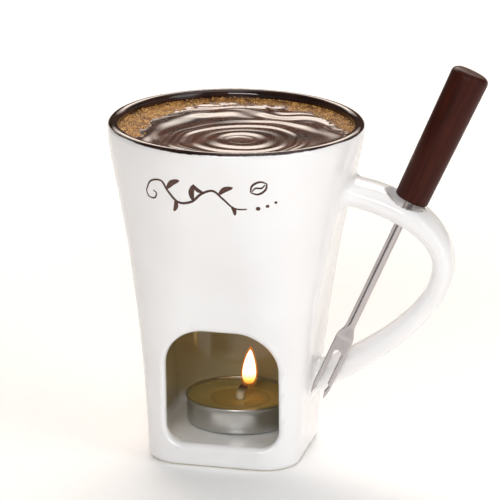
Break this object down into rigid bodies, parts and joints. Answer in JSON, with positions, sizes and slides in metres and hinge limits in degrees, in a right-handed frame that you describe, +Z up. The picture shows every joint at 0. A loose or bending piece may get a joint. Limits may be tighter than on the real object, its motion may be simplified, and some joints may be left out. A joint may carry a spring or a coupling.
{
  "type": "fondue mug set",
  "caption": "Stoneware mug with a bowl of melted chocolate over a tealight chamber, and a dipping fork hung in a bore in its handle.",
  "frame": {"origin": "middle of the mug's flat foot, on the surface it stands on", "axes": "+Z up along the mug's axis, -Y out of the tealight chamber's opening, +X towards the handle"},
  "size_m": [0.1292, 0.088, 0.1392],
  "materials": {
    "stoneware": "gloss",
    "chocolate": "gloss",
    "grip": "satin",
    "fork_steel": "polished",
    "cup_foil": "satin",
    "wax": "satin",
    "tab_steel": "satin",
    "wick": "matte"
  },
  "bodies": {
    "mug": {"mug_body": "stoneware", "base_plate": "stoneware", "mug_handle": "stoneware", "chocolate_fondue": "chocolate"},
    "fork": {"fork_grip": "grip", "fork_shaft": "fork_steel"},
    "tealight": {"tealight_cup": "cup_foil", "tealight_wax": "wax", "wick_tab": "tab_steel", "tealight_wick": "wick"}
  },
  "joints": [
    {"name": "fork_lift", "type": "slide", "parent": "mug", "child": "fork", "axis": [0.3869, 0.1478, 0.9102], "range_m": [0, 0.08]},
    {"name": "tealight_slide", "type": "slide", "parent": "mug", "child": "tealight", "axis": [0, -0.9781, 0.2079], "range_m": [0, 0.06]}
  ]
}
